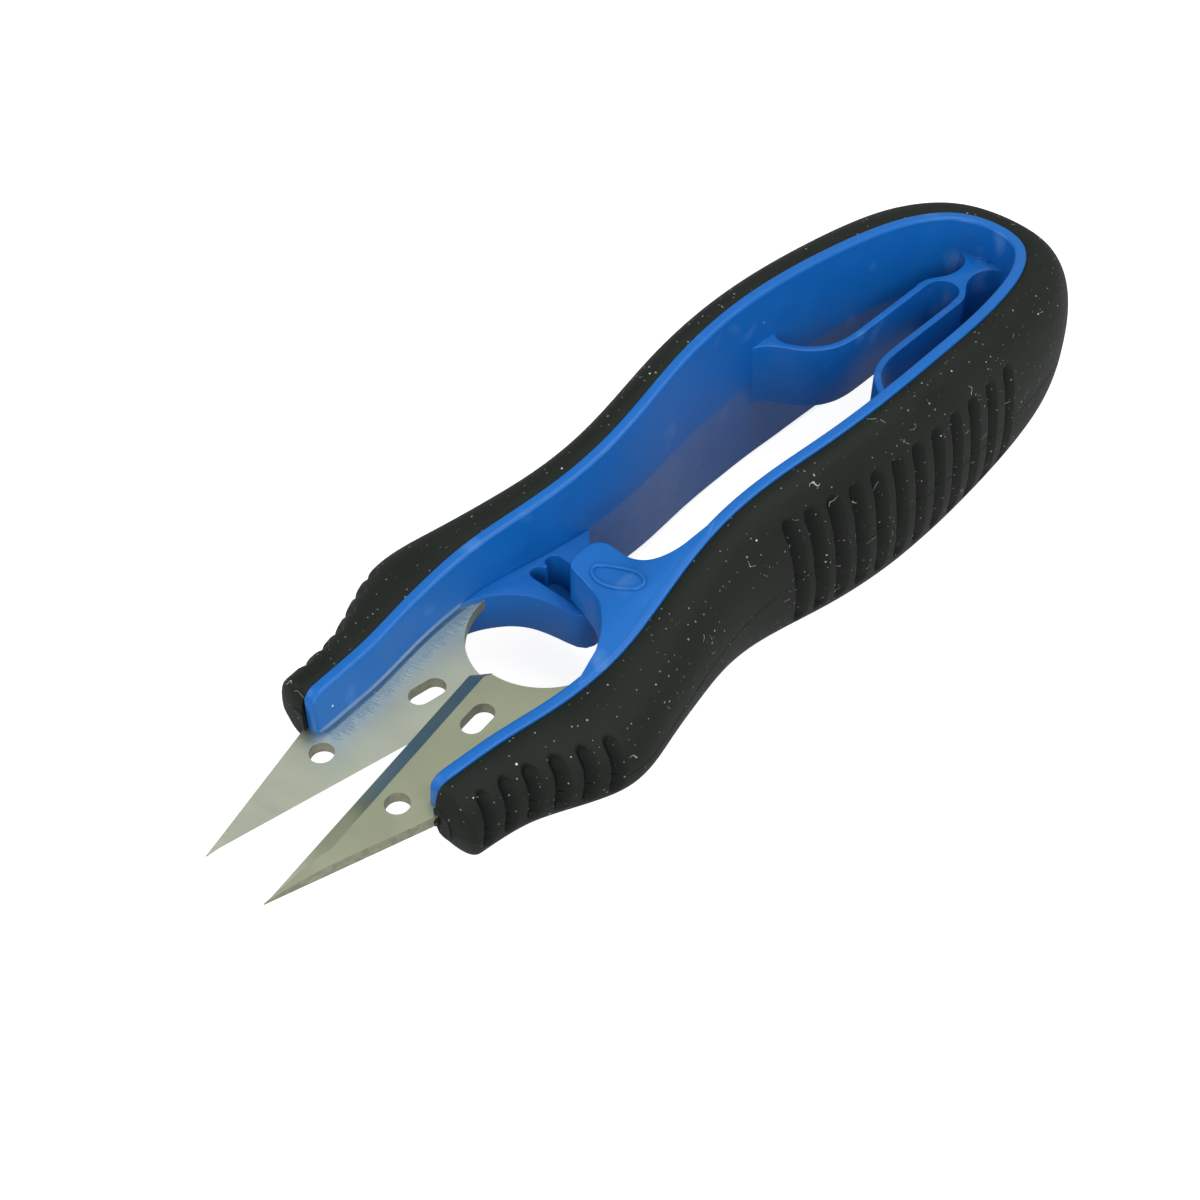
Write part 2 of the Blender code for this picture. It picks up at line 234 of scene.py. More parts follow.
def new_piece(name, bm, material, sharp=SHARP):
    """A visible piece in its material."""
    obj = new_object(name, bm)
    obj.data.materials.append(material)
    return smoothed(obj, sharp)


def made_plain(obj, sharp=SHARP):
    """Turns what the modifiers make into the object's own plain mesh, and removes them."""
    bpy.context.view_layer.update()
    evaluated = obj.evaluated_get(bpy.context.evaluated_depsgraph_get())
    mesh = bpy.data.meshes.new_from_object(evaluated)
    obj.modifiers.clear()
    obj.data = mesh
    return smoothed(obj, sharp)


def new_group(name, inputs, outputs):
    """An empty shader node group with its sockets: name, kind and first value of each input."""
    group = bpy.data.node_groups.new(name, "ShaderNodeTree")
    for label, kind, value in inputs:
        socket = group.interface.new_socket(name=label, in_out="INPUT", socket_type=kind)
        if value is not None:
            socket.default_value = value
    for label, kind in outputs:
        group.interface.new_socket(name=label, in_out="OUTPUT", socket_type=kind)
    return group, group.nodes.new("NodeGroupInput"), group.nodes.new("NodeGroupOutput")


def node(tree, kind, settings=None, **values):
    """A new node. Settings are its properties, and values its inputs or links by name."""
    made = tree.nodes.new(kind)
    for key, value in (settings or {}).items():
        setattr(made, key, value)
    for key, value in values.items():
        place = int(key[1:]) if key[1:].isdigit() else key.replace("_", " ")
        socket = made.inputs[place]
        if isinstance(value, bpy.types.NodeSocket):
            tree.links.new(value, socket)
        else:
            socket.default_value = value
    return made


def maths(tree, operation, a, b=0.0, c=0.0, clamp=False):
    """The result of one sum on numbers or sockets."""
    settings = {"operation": operation, "use_clamp": clamp}
    return node(tree, "ShaderNodeMath", settings, _0=a, _1=b, _2=c).outputs[0]


def times(tree, a, b, clamp=False):
    """Two numbers or sockets multiplied."""
    return maths(tree, "MULTIPLY", a, b, 0.0, clamp)


def one_over(tree, value):
    """How many times a size goes into a metre, as a texture's scale wants it."""
    return maths(tree, "DIVIDE", 1.0, value)


FLOAT, VECTOR = "NodeSocketFloat", "NodeSocketVector"
PATCH_LEVEL = 0.95            # how high the clouds have to stand for streaks to show


def grain_group():
    """Moulded surface: a fine skin from the tool and slow, shallow waviness, as a height."""
    group, given, out = new_group(
        "moulded_skin",
        (("Place", VECTOR, None), ("Fine size", FLOAT, 0.0002), ("Wave size", FLOAT, 0.004),
         ("Wave share", FLOAT, 0.5)),
        (("Height", FLOAT), ("Cloud", FLOAT)),
    )
    place = given.outputs["Place"]
    fine_scale = one_over(group, given.outputs["Fine size"])
    wave_scale = one_over(group, given.outputs["Wave size"])
    fine = node(group, "ShaderNodeTexNoise", Vector=place, Scale=fine_scale, Detail=2.0, Roughness=0.6)
    wave = node(group, "ShaderNodeTexNoise", Vector=place, Scale=wave_scale, Detail=1.0, Roughness=0.5)
    waves = times(group, wave.outputs["Fac"], given.outputs["Wave share"])
    group.links.new(maths(group, "ADD", fine.outputs["Fac"], waves), out.inputs["Height"])
    group.links.new(wave.outputs["Fac"], out.inputs["Cloud"])
    return group


def speck_group():
    """Dust: small round specks of uneven size, one in a share of the cells that fill space."""
    group, given, out = new_group(
        "dust_specks",
        (("Place", VECTOR, None), ("Spacing", FLOAT, 0.001), ("Size", FLOAT, 0.1), ("Share", FLOAT, 0.3)),
        (("Mask", FLOAT), ("Tone", FLOAT)),
    )
    scale = one_over(group, given.outputs["Spacing"])
    cells = node(group, "ShaderNodeTexVoronoi", Vector=given.outputs["Place"], Scale=scale, Randomness=1.0)
    parts = node(group, "ShaderNodeSeparateColor", Color=cells.outputs["Color"])
    chosen = maths(group, "LESS_THAN", parts.outputs[0], given.outputs["Share"])
    radius = times(group, given.outputs["Size"], parts.outputs[1])
    inside = maths(group, "LESS_THAN", cells.outputs["Distance"], radius)
    group.links.new(times(group, chosen, inside), out.inputs["Mask"])
    group.links.new(parts.outputs[2], out.inputs["Tone"])
    return group


def streak_group():
    """Fine parallel marks, long one way and thin the other, that show only in patches."""
    group, given, out = new_group(
        "fine_streaks",
        (("Place", VECTOR, None), ("Turn", FLOAT, 0.0), ("Length", FLOAT, 0.01), ("Width", FLOAT, 0.0001),
         ("Patch size", FLOAT, 0.01), ("Cover", FLOAT, 0.5)),
        (("Mask", FLOAT), ("Height", FLOAT)),
    )
    place = given.outputs["Place"]
    turned = node(group, "ShaderNodeVectorRotate", {"rotation_type": "Z_AXIS"}, Vector=place,
                  Angle=given.outputs["Turn"]).outputs[0]
    long_scale = one_over(group, given.outputs["Length"])
    thin_scale = one_over(group, given.outputs["Width"])
    scale = node(group, "ShaderNodeCombineXYZ", X=thin_scale, Y=long_scale, Z=long_scale).outputs[0]
    stretched = node(group, "ShaderNodeVectorMath", {"operation": "MULTIPLY"}, _0=turned,
                     _1=scale).outputs[0]
    lines = node(group, "ShaderNodeTexNoise", Vector=stretched, Scale=1.0, Detail=3.0, Roughness=0.65)
    patch_scale = one_over(group, given.outputs["Patch size"])
    patches = node(group, "ShaderNodeTexNoise", Vector=place, Scale=patch_scale, Detail=1.0)
    raised = maths(group, "ADD", patches.outputs["Fac"], given.outputs["Cover"])
    over = maths(group, "SUBTRACT", raised, PATCH_LEVEL, 0.0, True)
    group.links.new(times(group, lines.outputs["Fac"], over), out.inputs["Mask"])
    group.links.new(lines.outputs["Fac"], out.inputs["Height"])
    return group


moulded_skin = grain_group()
dust_specks = speck_group()
fine_streaks = streak_group()


def placed_group(tree, group, **values):
    """A shared effect placed in a material with its own values."""
    return node(tree, "ShaderNodeGroup", {"node_tree": group}, **values)


def mixed(tree, share, a, b):
    """Two colours mixed by a share."""
    made = node(tree, "ShaderNodeMix", {"data_type": "RGBA"})
    for socket, value in ((made.inputs[0], share), (made.inputs[6], a), (made.inputs[7], b)):
        if isinstance(value, bpy.types.NodeSocket):
            tree.links.new(value, socket)
        else:
            socket.default_value = value
    return made.outputs[2]


def new_material(name, label, value):
    """A material with one of its shader's numbers set: its tree, its shader and its Object coordinates."""
    material = bpy.data.materials.new(name)
    material.use_nodes = True
    tree = material.node_tree
    shader = tree.nodes["Principled BSDF"]
    shader.inputs[label].default_value = value
    return material, tree, shader.inputs, node(tree, "ShaderNodeTexCoord").outputs["Object"]


def add_bump(tree, inputs, height, strength, distance):
    """A fine relief on the shader's normal."""
    bump = node(tree, "ShaderNodeBump", Strength=strength, Distance=distance, Height=height)
    tree.links.new(bump.outputs[0], inputs["Normal"])


BLUE = (0.0050, 0.104, 0.375, 1.0)
BLUE_DEEP = (0.0035, 0.090, 0.330, 1.0)
BLUE_ROUGHNESS = (0.14, 0.29)  # what the clouds add, and the least
SCUFF = (0.30, 0.48, 0.80, 1.0)
SCUFF_SHARE = 1.6
SCUFF_ROUGHNESS = 0.5
DUST = (0.75, 0.8, 0.9, 1.0)
DUST_SHARE = 0.55


def blue_plastic():
    """Satin blue plastic: mould skin, slight cloudiness, a few pale scuffs and grains of dust."""
    material, tree, inputs, place = new_material("blue_plastic", "Specular IOR Level", 0.25)
    skin = placed_group(tree, moulded_skin, Place=place, Fine_size=0.00022, Wave_size=0.0035,
                        Wave_share=1.6)
    scuffs = placed_group(tree, fine_streaks, Place=place, Turn=0.6, Length=0.0016, Width=0.00022,
                          Patch_size=0.0042, Cover=0.30)
    dust = placed_group(tree, dust_specks, Place=place, Spacing=0.0022, Size=0.075, Share=0.16)
    body = mixed(tree, skin.outputs["Cloud"], BLUE_DEEP, BLUE)
    marked = mixed(tree, times(tree, scuffs.outputs["Mask"], SCUFF_SHARE, True), body, SCUFF)
    dusty = mixed(tree, times(tree, dust.outputs["Mask"], DUST_SHARE), marked, DUST)
    tree.links.new(dusty, inputs["Base Color"])
    rough = maths(tree, "MULTIPLY_ADD", skin.outputs["Cloud"], *BLUE_ROUGHNESS)
    rubbed = times(tree, scuffs.outputs["Mask"], SCUFF_ROUGHNESS)
    tree.links.new(maths(tree, "ADD", rough, rubbed), inputs["Roughness"])
    add_bump(tree, inputs, skin.outputs["Height"], strength=0.22, distance=0.00002)
    return material


blue = blue_plastic()


def bend_with(obj):
    """Bakes the piece's placing into its own mesh; the piece is tied to no body."""
    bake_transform(obj)


for side, sign in SIDES:
    tip = WALL_TIP[side]
    turned = place_at(tip - WALL_CORNER)
    nose_places = places_round_nose(turned, place_at(tip), NOSE_STEPS)
    body_places = list(np.linspace(turned, apex_place, round((apex_place - turned) / WALL_STEP)))
    rings = []
    for (x, y), out, height, _ in zip(*outline_frames(nose_places + body_places)):
        drop = corner_drop(x, tip, WALL_CORNER)
        inset = corner_drop(x, tip, WALL_EDGE)
        rise = min(max((x - (tip - WALL_UNDERCUT)) / WALL_UNDERCUT, 0.0), 1.0) ** 2
        low = lower_edge(height) + WALL_LIFT
        section = wall_section(height - drop, low + (WALL_NOSE_LOW - low) * rise, inset)
        rings.append([(x - out[0] * u, y - out[1] * u, z) for u, z in section])
    solid = closed_tube(rings)
    wall = new_piece(side + "_handle_wall", flip_side(solid) if sign < 0 else solid, blue)
    bend_with(wall)
    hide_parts(side + "_rail", side + "_tang_block", "rear_bow")


# ---- Tongue and its raised ring ----
# A flat tongue grows out of the near arm's wall, level with the rim there and lower at its end.
# It slides over the far arm's guide block and carries a plain raised oval ring on its top.
TONGUE_FRONT = ((27.0, 9.75), (25.3, 9.42), (23.9, 8.95), (22.3, 8.15), (20.9, 7.3), (19.6, 6.15),
                (18.3, 4.75), (17.4, 3.3), (16.8, 1.8))
TONGUE_END = ((16.4, 0.5), (16.15, -0.6), (15.8, -1.35), (15.1, -1.85), (14.1, -2.0), (12.6, -2.0),
              (11.7, -1.7), (11.2, -1.1), (11.05, -0.2))
TONGUE_REAR = ((11.1, 0.9), (11.25, 2.2), (11.3, 3.6), (11.1, 4.8), (10.4, 5.8), (9.2, 6.55),
               (7.6, 6.98), (6.0, 7.2), (4.2, 7.5))
TONGUE_SIDE = (5.8, 27.4, 0.4)  # where its edge runs along the wall, and the step between points
TONGUE_BOTTOM = 0.6
TONGUE_END_TOP = 5.3
TONGUE_RISE = (1.0, 7.6)      # y where its top starts to rise, and where it reaches the rim
TONGUE_EDGE = 0.32
TONGUE_CENTRE = (14.6, 6.0)
TONGUE_EDGE_STEPS = 5
TONGUE_TOP_SHARES = (0.93, 0.82, 0.7, 0.56, 0.42, 0.28, 0.14, 0.03)  # sizes of its top's inner rings
RIM_OVERLAP = 1.05            # how far it runs into the wall
RIM_TABLE = (-5.0, 40.0, 60)  # the stretch of rim that is tabled, and in how many steps
PROUD = 0.015                 # how far its top stands over the rim
RING_CENTRE = (14.6, 3.8)
RING_SIZE = (1.4, 3.15)
RING_HEIGHT = 0.32
RING_HALF_WIDTH = 0.24
BEAD_SUNK = 0.4               # a raised line's depth in its surface, as a share of its height
SOFT_SHARP = 60.0


def dense(points, step=0.25):
    """Closely spaced points on a smooth curve through these."""
    knots, curve = path_through(points)
    return [tuple(point) for point in curve(np.linspace(0.0, knots[-1], max(2, round(knots[-1] / step))))]


rim_table_x = np.linspace(*RIM_TABLE)
rim_table_y, rim_table_z = np.array([outline_curve([place_at(x)])[0, 1:3] for x in rim_table_x]).T


def tongue_top(x, y):
    """The tongue's top surface."""
    t = min(max((y - TONGUE_RISE[0]) / (TONGUE_RISE[1] - TONGUE_RISE[0]), 0.0), 1.0)
    t = t * t * (3 - 2 * t)
    rim = float(np.interp(x, rim_table_x, rim_table_z)) + PROUD
    return TONGUE_END_TOP + (rim - TONGUE_END_TOP) * t


edge = dense(TONGUE_FRONT) + dense(TONGUE_END) + dense(TONGUE_REAR)
for x in np.arange(*TONGUE_SIDE):
    edge.append((x, float(np.interp(x, rim_table_x, rim_table_y)) - RIM_WIDTH + RIM_OVERLAP))
layers = [(0.0, None, 1.0)]   # inset, drop below the top, or None for the underside, and share of the size
for i in range(TONGUE_EDGE_STEPS + 1):
    a = math.pi * 0.5 * (1 - i / TONGUE_EDGE_STEPS)
    layers.append((TONGUE_EDGE * (1 - math.sin(a)), TONGUE_EDGE * (1 - math.cos(a)), 1.0))
layers += [(TONGUE_EDGE, 0.0, share) for share in TONGUE_TOP_SHARES]
rings = []
for inset, drop, whole in layers:
    ring = []
    for x, y in edge:
        towards = Vector((TONGUE_CENTRE[0] - x, TONGUE_CENTRE[1] - y))
        inset_place = Vector((x, y)) + towards.normalized() * inset
        p = Vector(TONGUE_CENTRE) + (inset_place - Vector(TONGUE_CENTRE)) * whole
        top = tongue_top(p.x, p.y)
        ring.append((p.x, p.y, TONGUE_BOTTOM if drop is None else top - drop))
    rings.append(ring)
tongue = new_piece("tongue_plate", closed_tube(rings), blue)
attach(tongue, "near_arm")
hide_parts("near_tongue")


def round_bead(centre, radii, half_width, height, surface, turns=72, corners=12):
    """A low raised line that closes on itself, standing on a surface."""
    rings = []
    for i in range(turns):
        a = 2 * math.pi * i / turns
        ring = []
        for j in range(corners):
            b = 2 * math.pi * j / corners
            x = centre[0] + (radii[0] + half_width * math.cos(b)) * math.cos(a)
            y = centre[1] + (radii[1] + half_width * math.cos(b)) * math.sin(a)
            rise = height if math.sin(b) > 0 else height * BEAD_SUNK
            ring.append((x, y, surface(x, y) + rise * math.sin(b)))
        rings.append(ring)
    return closed_tube(rings, capped=False)


oval_bead = round_bead(RING_CENTRE, RING_SIZE, RING_HALF_WIDTH, RING_HEIGHT, tongue_top)
oval = new_piece("tongue_oval_ring", oval_bead, blue, SOFT_SHARP)
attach(oval, "near_arm")
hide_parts("tongue_badge")


# ---- Guide block ----
# The far arm's block under the tongue, moulded with the wall: a curved front face towards the
# finger hole, and an open pocket with a rounded rib in its end wall that keeps its walls thin.
GUIDE_FRONT = ((26.5, -10.0), (24.6, -9.3), (22.8, -8.75), (21.0, -7.75), (19.4, -6.4), (18.2, -4.6),
               (17.6, -2.7), (17.2, -0.6))
GUIDE_END = ((16.95, 0.5), (16.45, 1.3), (15.6, 1.7), (11.6, 1.7), (10.9, 1.3), (10.6, 0.5))
GUIDE_REAR = ((10.45, -1.0), (10.2, -2.5), (9.6, -4.0), (8.4, -5.6), (7.0, -6.9), (5.0, -8.0), (4.0, -8.3))
GUIDE_STEP = 0.4
GUIDE_HEIGHTS = (-4.4, 0.3)
GUIDE_EDGE = 0.30
POCKET_X = (12.1, 16.1)
POCKET_RIB = 0.45             # the rib between its two lobes
POCKET_Y = (-6.35, 0.5)
POCKET_FLOOR = -3.9
POCKET_STEPS = 12
POCKET_CLEAR = 2              # how far the solid that cuts the pocket stands over the block


def plate(points, low, high):
    """A straight-sided solid with this outline."""
    return closed_tube([[(x, y, z) for x, y in points] for z in (low, high)])


def combine(obj, operation, tool):
    """Joins a solid to the piece, or takes it away, when the piece is made plain."""
    modifier = obj.modifiers.new(operation.lower(), "BOOLEAN")
    modifier.operation = operation
    modifier.solver = "EXACT"
    modifier.object = tool


def cut_and_round(obj, cutters, width, segments=3, angle=40.0, sharp=SHARP):
    """Takes the cutters away from the piece, rounds its sharp edges and removes the cutters."""
    for tool in cutters:
        combine(obj, "DIFFERENCE", tool)
    rounding = obj.modifiers.new("rounded", "BEVEL")
    rounding.width = width * MM
    rounding.segments = segments
    rounding.limit_method = "ANGLE"
    rounding.angle_limit = math.radians(angle)
    rounding.harden_normals = False
    made_plain(obj, sharp)
    for tool in cutters:
        bpy.data.objects.remove(tool)


guide_edge = dense(GUIDE_FRONT, GUIDE_STEP) + list(GUIDE_END) + dense(GUIDE_REAR, GUIDE_STEP)
guide = new_piece("guide_block_body", plate(guide_edge, *GUIDE_HEIGHTS), blue)
pocket_points = [(POCKET_X[1], POCKET_Y[1]), (POCKET_X[0], POCKET_Y[1])]
lobe = 0.25 * (POCKET_X[1] - POCKET_X[0] - POCKET_RIB)
for centre in (POCKET_X[0] + lobe, POCKET_X[1] - lobe):
    pocket_points += arc(centre, POCKET_Y[0], lobe, 180, 360, POCKET_STEPS)
pocket = new_object("pocket", plate(pocket_points, POCKET_FLOOR, GUIDE_HEIGHTS[1] + POCKET_CLEAR))
cut_and_round(guide, [pocket], GUIDE_EDGE)
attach(guide, "far_arm")
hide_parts("far_guide_block")


# ---- Spring ----
# The spring is moulded inside the bow: a closed end on a short waist that grows from the rear wall,
# and two straight leaves that curve out to the arms and push them apart.
SPRING_TOP = 5.6
SPRING_BOTTOM = -2.4
LEAF_WIDTH = 0.85
LEAF_EDGE = 0.16              # radius of its edges
LEAF_CORNER_STEPS = 3
LEAF_STEPS = 110
LEAF_LINE = ((-44.25, 2.4), (-38.0, 2.4), (-33.5, 2.4), (-31.2, 2.5), (-29.2, 2.95), (-27.4, 4.0),
             (-26.1, 5.5), (-25.2, 7.2), (-24.6, 9.9))
LEAF_FLARE = 1.7              # extra width where it runs into the arm's wall
LEAF_FLARE_LENGTH = 2.2
LEAF_FLARE_END = 1.0          # it is widest this far before its end, inside the wall
LEAF_FLARE_POWER = 2.4
LEAF_NEARBY = 0.05
BRIDGE_OUTER = ((-44.2, 2.825), (-44.9, 2.81), (-45.6, 2.70), (-46.3, 2.45), (-47.0, 2.07), (-47.7, 1.63),
                (-48.4, 1.27), (-49.2, 1.04), (-50.2, 0.95), (-51.1, 1.03), (-51.9, 1.35), (-52.75, 2.15),
                (-53.3, 3.3), (-53.6, 4.9))
BRIDGE_INNER = ((-44.2, 1.975), (-45.1, 1.96), (-45.9, 1.83), (-46.7, 1.4), (-47.2, 0.75), (-47.35, 0.0))
BRIDGE_STEP = 0.2
BRIDGE_TURN = 50.0            # only the rims turn more than this, and are rounded
EJECTOR_PLACE = (-52.95, 0.0)  # the round mark that a pin leaves as it pushes the moulding out
EJECTOR_RADIUS = 0.85
EJECTOR_LINE = 0.11


def leaf_section(half, top, bottom):
    """A rounded rectangle across the leaf: sideways, then height."""
    r = LEAF_EDGE
    section = []
    for turn, u, z in ((0, half - r, top - r), (90, r - half, top - r),
                       (180, r - half, bottom + r), (270, half - r, bottom + r)):
        section += arc(u, z, r, turn, turn + 90, LEAF_CORNER_STEPS)
    return section


knots, curve = path_through(LEAF_LINE)
end = knots[-1]
places = np.linspace(0.0, end, LEAF_STEPS)
ahead = curve(np.minimum(places + LEAF_NEARBY, end)) - curve(np.maximum(places - LEAF_NEARBY, 0.0))
ahead /= np.linalg.norm(ahead, axis=1)[:, None]
for side, sign in SIDES:
    rings = []
    for place, (x, y), (ax, ay) in zip(places, curve(places), ahead):
        flare = max(0.0, 1.0 - (end - LEAF_FLARE_END - place) / LEAF_FLARE_LENGTH)
        half = 0.5 * LEAF_WIDTH + 0.5 * LEAF_FLARE * flare**LEAF_FLARE_POWER
        section = leaf_section(half, SPRING_TOP, SPRING_BOTTOM)
        rings.append([(x - ay * u, y + ax * u, z) for u, z in section])
    solid = closed_tube(rings)
    leaf = new_piece(side + "_leaf", flip_side(solid) if sign < 0 else solid, blue)
    bend_with(leaf)
    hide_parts(side + "_spring_leaf")

half_round = dense(BRIDGE_INNER, BRIDGE_STEP)[::-1] + dense(BRIDGE_OUTER, BRIDGE_STEP)
closed_end = half_round + [(x, -y) for x, y in half_round[::-1]][:-1]
bridge = new_piece("spring_closed_end", plate(closed_end, SPRING_BOTTOM, SPRING_TOP), blue)
cut_and_round(bridge, [], LEAF_EDGE, angle=BRIDGE_TURN)
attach(bridge, "bow")
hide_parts("spring_bridge")

pin_mark = round_bead(EJECTOR_PLACE, (EJECTOR_RADIUS, EJECTOR_RADIUS), EJECTOR_LINE, EJECTOR_LINE,
                      lambda x, y: SPRING_TOP)
mark = new_piece("spring_pin_mark", pin_mark, blue, SOFT_SHARP)
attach(mark, "bow")
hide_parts("spring_bridge")


# ---- Blades ----
# Two stamped and ground steel blades, the same part turned over, gripped in the arms at their tangs.
# Each has a ground bevel along its cutting edge, a thinned point, a round hole and a long hole.
HALF_SLIP = 0.1               # half the play between the two blades
BLADE_THICKNESS = 1.3
BLADE_EDGE = 0.05             # radius of its dulled edges
BLADE_EDGE_TURN = 30.0
BLADE_SHARP = 4.0
TIP_X = 60.0
TIP_Y = 3.94
OUTER_SLOPE = 0.303
EDGE_SLOPE = 0.188
SHOULDER_X = 39.5             # the ground front ends here, inside the grip
FRONT_STEPS = 60
FRONT_CROWDING = 1.4          # how much closer together its sections are towards the point
HEEL_X = 29.6
HEEL_CUT_LOW = (0.9, 0.75)    # the cut corner behind the heel: back and out, on the lower face
HEEL_CUT_HIGH = (0.95, 0.3)   # and on the upper one, behind the bevel
BEVEL_WIDTH = 2.0
BEVEL_SHARE = 0.55            # and never more than this share of the blade's width
THIN_LENGTH = 6.5             # the point is ground thinner over this length
THIN_TIP = 0.18               # down to this
THIN_POWER = 1.6
BACK_ARC = (20.8, 8.0)        # the round back that clears the finger hole: x of its centre, and radius
BACK_TURN = (4, 90, 44)       # from and to, in degrees, and in how many points
TANG = ((18.2, 8.9), (18.2, 11.2), (23.0, 11.8), (28.0, 11.6), (34.0, 10.7))
HOLE = (45.4, 5.2, 1.22)      # x, y, radius
SLOT = (33.6, 3.45, 1.15, 1.7, 8.0)  # x, y, radius, length between its round ends, tilt
HOLE_STEPS = 56
HOLE_HEIGHTS = (-2.0, 4.0)
# Each blade's two steel tones, plain and in the grinding marks: the far blade's are paler than the near
# one's, painted light for the light each blade catches.
STEEL_SHADED_NEAR_LIT_FAR = {"near": ((0.44, 0.48, 0.335, 1.0), (0.34, 0.375, 0.25, 1.0)),
         "far": ((0.62, 0.67, 0.54, 1.0), (0.44, 0.48, 0.37, 1.0))}
STEEL_SCRATCH = (0.52, 0.55, 0.46, 1.0)
SCRATCH_TURN = 0.9            # the handling marks' turn from the grinding marks, and their share
SCRATCH_SHARE = 0.6
STEEL_ROUGHNESS = (0.16, 0.22)  # what the grinding adds, and the least
CLOUD_ROUGHNESS = 0.08
SKIN_RELIEF = 0.25
GRIND_RELIEF = {"near": 0.14, "far": 0.55}   # the marks are rougher on the blade that is turned over
# The stamped edges' tones are darker than the faces: partly a real sheared finish and partly painted shade
# of the hole walls.
STEEL_SHEARED_SHADED = (0.19, 0.19, 0.13, 1.0)
STEEL_BURNISHED_SHADED = (0.42, 0.43, 0.33, 1.0)
SHEARED_ROUGHNESS = (0.2, 0.42)
SHEARED_LIMIT = 0.3           # faces this upright are stamped edges
BLADE_LEAN = 0.283            # the blades are ground square to their outer edges
RAIL_LINE = 12.15             # the rail's inner face over the blade: y is this less its lean times x
RAIL_LEAN = 0.113
RAIL_END = 44.5
RAIL_END_FADE = 2.0
RAIL_REACH = 5.6              # how far from the rail the longest mark reaches
RAIL_SHORTER = -0.6           # and how much shorter all of them are
RAIL_FADE = 0.7
RAIL_SMOOTHING = {"near": 0.1, "far": 0.5}   # how much smoother the steel is in the band


def blade_half_width(x):
    """The blade's cutting edge and outer edge at this x, in front of the heel."""
    reach = TIP_X - x
    return TIP_Y - EDGE_SLOPE * reach, TIP_Y + OUTER_SLOPE * reach


def blade_top_height(x):
    """The upper face's height: full thickness, and thinned towards the point."""
    t = min(max((x - (TIP_X - THIN_LENGTH)) / THIN_LENGTH, 0.0), 1.0)
    return HALF_SLIP + BLADE_THICKNESS + (THIN_TIP - BLADE_THICKNESS) * t**THIN_POWER


def blade_front():
    """The ground front of the blade: sections from the point back to the shoulder."""
    rings = []
    for i in range(FRONT_STEPS + 1):
        x = TIP_X - (TIP_X - SHOULDER_X) * (i / FRONT_STEPS) ** FRONT_CROWDING
        cutting, outer = blade_half_width(x)
        width = outer - cutting
        top = blade_top_height(x)
        bevel = min(BEVEL_WIDTH, BEVEL_SHARE * width)
        section = ((cutting, HALF_SLIP), (cutting + bevel, top), (outer, top), (outer, HALF_SLIP))
        rings.append([(x, y, z) for y, z in section])
    return rings


def blade_rear(cut, bevel, z):
    """One face's outline behind the shoulder, where only the cutting edge is bevelled."""
    centre, radius = BACK_ARC
    turns = np.radians(np.linspace(*BACK_TURN))
    cutting, outer = blade_half_width(SHOULDER_X)
    heel = blade_half_width(HEEL_X)[0] + bevel
    points = [(SHOULDER_X, cutting + bevel), (HEEL_X, heel), (HEEL_X - cut[0], heel + cut[1])]
    points += [(centre + radius * math.cos(a), radius * math.sin(a)) for a in turns]
    points += [*TANG, (SHOULDER_X, outer)]
    return [(x, y, z) for x, y in points]


def blade_halves():
    """The blade's front and its rear as two closed solids that share the face at the shoulder."""
    low = blade_rear(HEEL_CUT_LOW, 0.0, HALF_SLIP)
    high = blade_rear(HEEL_CUT_HIGH, BEVEL_WIDTH, HALF_SLIP + BLADE_THICKNESS)
    return closed_tube(blade_front()), closed_tube([low, high])


def round_hole(x, y, radius, length=0.0, tilt=0.0):
    """The solid that cuts a round or long hole."""
    lean = math.radians(tilt)
    points = []
    for i in range(HOLE_STEPS):
        a = 2 * math.pi * (i + 0.5) / HOLE_STEPS
        u = radius * math.cos(a) + math.copysign(0.5 * length, math.cos(a))
        v = radius * math.sin(a)
        across = u * math.sin(lean) + v * math.cos(lean)
        points.append((x + u * math.cos(lean) - v * math.sin(lean), y + across))
    return plate(points, *HOLE_HEIGHTS)


def fading(tree, value, start, end, start_value=0.0, end_value=1.0):
    """A value that turns smoothly from one number into another between two places."""
    return node(tree, "ShaderNodeMapRange", {"interpolation_type": "SMOOTHSTEP"}, Value=value,
                From_Min=start, From_Max=end, To_Min=start_value, To_Max=end_value).outputs[0]


def beside_rail(tree, place, marks):
    """The band beside the rail where the grinding marks run out one by one."""
    axes = node(tree, "ShaderNodeSeparateXYZ", Vector=place).outputs
    rail = maths(tree, "MULTIPLY_ADD", axes[0], -RAIL_LEAN, RAIL_LINE * MM)
    from_rail = maths(tree, "SUBTRACT", rail, maths(tree, "ABSOLUTE", axes[1]))
    reach = maths(tree, "MULTIPLY_ADD", marks, RAIL_REACH * MM, RAIL_SHORTER * MM)
    band = fading(tree, maths(tree, "SUBTRACT", reach, from_rail), 0.0, RAIL_FADE * MM)
    behind_nose = fading(tree, axes[0], RAIL_END * MM, (RAIL_END - RAIL_END_FADE) * MM)
    return times(tree, band, behind_nose)


